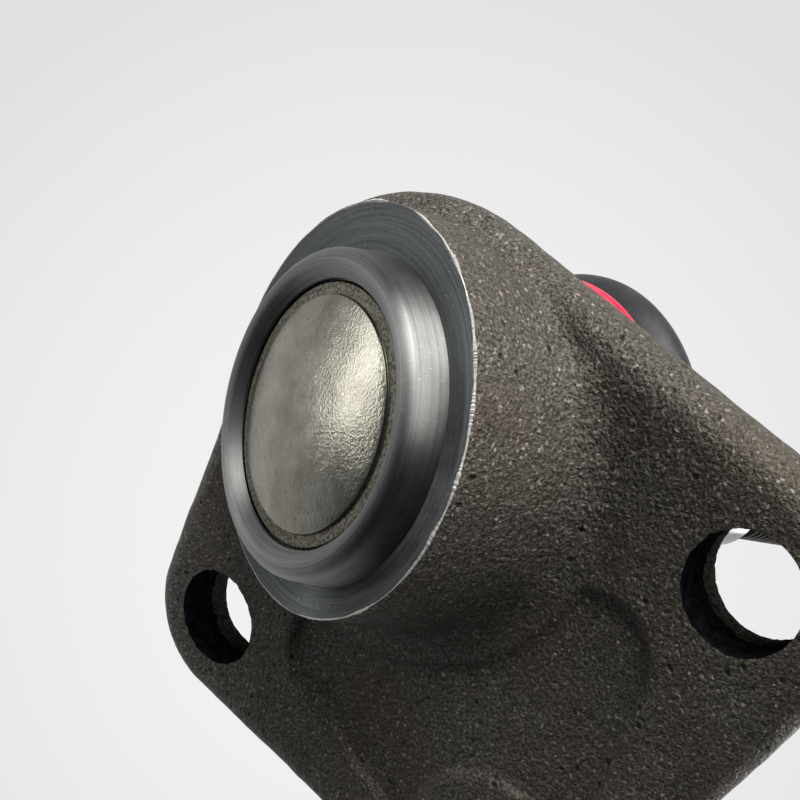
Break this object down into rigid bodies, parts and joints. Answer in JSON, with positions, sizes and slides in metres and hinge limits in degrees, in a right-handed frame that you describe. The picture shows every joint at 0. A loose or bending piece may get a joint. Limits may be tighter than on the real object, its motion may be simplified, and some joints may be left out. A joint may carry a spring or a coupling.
{
  "type": "suspension ball joint",
  "caption": "Lower suspension ball joint: cast housing with an inclined bolt-on flange, rolled-in end cap, rubber boot and a tapered, threaded ball stud.",
  "frame": {"origin": "centre of the ball", "axes": "+Z along the stud from the ball to the threaded end; +Y towards the third bolt hole; +X towards the outer bolt hole on the high side of the flange"},
  "size_m": [0.0956, 0.0853, 0.0875],
  "materials": {
    "cast_housing": "shot-blasted casting, dark grey-brown, turned faces bare",
    "cap_plate": "fine-grained pressed steel, dull zinc phosphate grey",
    "spring_steel": "oiled spring steel",
    "bearing_plastic": "moulded acetal, greased",
    "stud_steel": "turned and ground forged steel",
    "boot_rubber": "matt black chloroprene",
    "ring_red": "red plastic-coated wire",
    "ring_steel": "black phosphated wire"
  },
  "bodies": {
    "housing_body": {"housing": "cast_housing", "end_cap": "cap_plate", "disc_spring": "spring_steel", "lower_seat": "bearing_plastic", "upper_shell": "bearing_plastic", "boot_base_ring": "ring_red"},
    "boot_body": {"dust_boot": "boot_rubber"},
    "collar_body": {"boot_collar_ring": "ring_steel"},
    "stud_body": {"ball_stud": "stud_steel"}
  },
  "joints": [
    {"name": "swing_x", "type": "hinge", "parent": "housing_body", "child": "boot_body", "pos_m": [0, 0, 0], "axis": [1, 0, 0], "range_deg": [-18, 18], "deforming": ["dust_boot"]},
    {"name": "swing_y", "type": "hinge", "parent": "boot_body", "child": "collar_body", "pos_m": [0, 0, 0], "axis": [0, 1, 0], "range_deg": [-18, 18], "deforming": ["dust_boot"]},
    {"name": "stud_spin", "type": "hinge", "parent": "collar_body", "child": "stud_body", "pos_m": [0, 0, 0], "axis": [0, 0, 1], "continuous": true}
  ]
}
